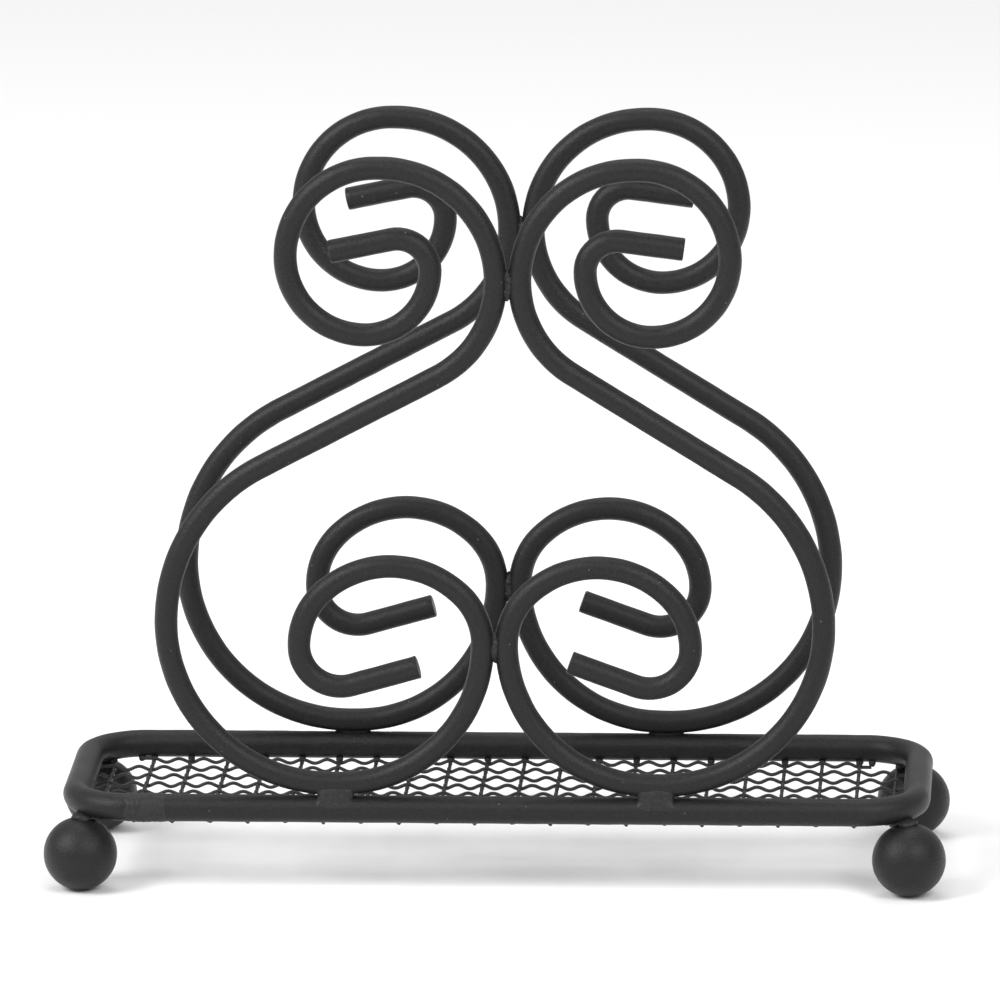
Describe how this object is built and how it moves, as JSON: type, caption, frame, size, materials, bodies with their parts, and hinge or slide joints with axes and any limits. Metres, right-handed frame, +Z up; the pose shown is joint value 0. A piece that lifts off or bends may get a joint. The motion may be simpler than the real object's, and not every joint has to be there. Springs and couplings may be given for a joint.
{
  "type": "wire napkin holder",
  "caption": "Upright open napkin holder of black coated steel wire: scrollwork front and back panels on a rectangular base loop with a woven wire floor and ball feet.",
  "frame": {"origin": "On the surface that the ball feet stand on, under the middle of the base frame.", "axes": "+X along the holder, to the right seen from the front panel. +Y from the front panel to the back panel. +Z up."},
  "size_m": [0.1956, 0.0676, 0.1628],
  "materials": {
    "black_coat": "satin black powder coat on round steel wire, bar and balls, with fine orange peel",
    "mesh_coat": "satin black coat on woven crimped steel wire",
    "weld_coat": "black coat over lumpy weld metal, slightly rougher than the wire"
  },
  "bodies": {
    "root": {"ball_foot_back_left": "black_coat", "ball_foot_back_right": "black_coat", "ball_foot_front_left": "black_coat", "ball_foot_front_right": "black_coat", "base_frame_bar": "black_coat", "foot_weld_back_left": "weld_coat", "foot_weld_back_right": "weld_coat", "foot_weld_front_left": "weld_coat", "foot_weld_front_right": "weld_coat", "frame_butt_weld": "weld_coat", "lower_contact_weld_back": "weld_coat", "lower_contact_weld_front": "weld_coat", "mesh_cross_wire_1": "mesh_coat", "mesh_cross_wire_10": "mesh_coat", "mesh_cross_wire_11": "mesh_coat", "mesh_cross_wire_12": "mesh_coat", "mesh_cross_wire_13": "mesh_coat", "mesh_cross_wire_14": "mesh_coat", "mesh_cross_wire_15": "mesh_coat", "mesh_cross_wire_16": "mesh_coat", "mesh_cross_wire_17": "mesh_coat", "mesh_cross_wire_18": "mesh_coat", "mesh_cross_wire_19": "mesh_coat", "mesh_cross_wire_2": "mesh_coat", "mesh_cross_wire_20": "mesh_coat", "mesh_cross_wire_21": "mesh_coat", "mesh_cross_wire_22": "mesh_coat", "mesh_cross_wire_3": "mesh_coat", "mesh_cross_wire_4": "mesh_coat", "mesh_cross_wire_5": "mesh_coat", "mesh_cross_wire_6": "mesh_coat", "mesh_cross_wire_7": "mesh_coat", "mesh_cross_wire_8": "mesh_coat", "mesh_cross_wire_9": "mesh_coat", "mesh_long_wire_1": "mesh_coat", "mesh_long_wire_2": "mesh_coat", "mesh_long_wire_3": "mesh_coat", "mesh_long_wire_4": "mesh_coat", "mesh_long_wire_5": "mesh_coat", "mesh_long_wire_6": "mesh_coat", "mesh_long_wire_7": "mesh_coat", "mesh_long_wire_8": "mesh_coat", "mesh_welds_back": "weld_coat", "mesh_welds_front": "weld_coat", "mesh_welds_left": "weld_coat", "mesh_welds_right": "weld_coat", "rail_weld_back_left": "weld_coat", "rail_weld_back_right": "weld_coat", "rail_weld_front_left": "weld_coat", "rail_weld_front_right": "weld_coat", "scroll_wire_back_left": "black_coat", "scroll_wire_back_right": "black_coat", "scroll_wire_front_left": "black_coat", "scroll_wire_front_right": "black_coat", "upper_contact_weld_back": "weld_coat", "upper_contact_weld_front": "weld_coat"}
  },
  "joints": []
}
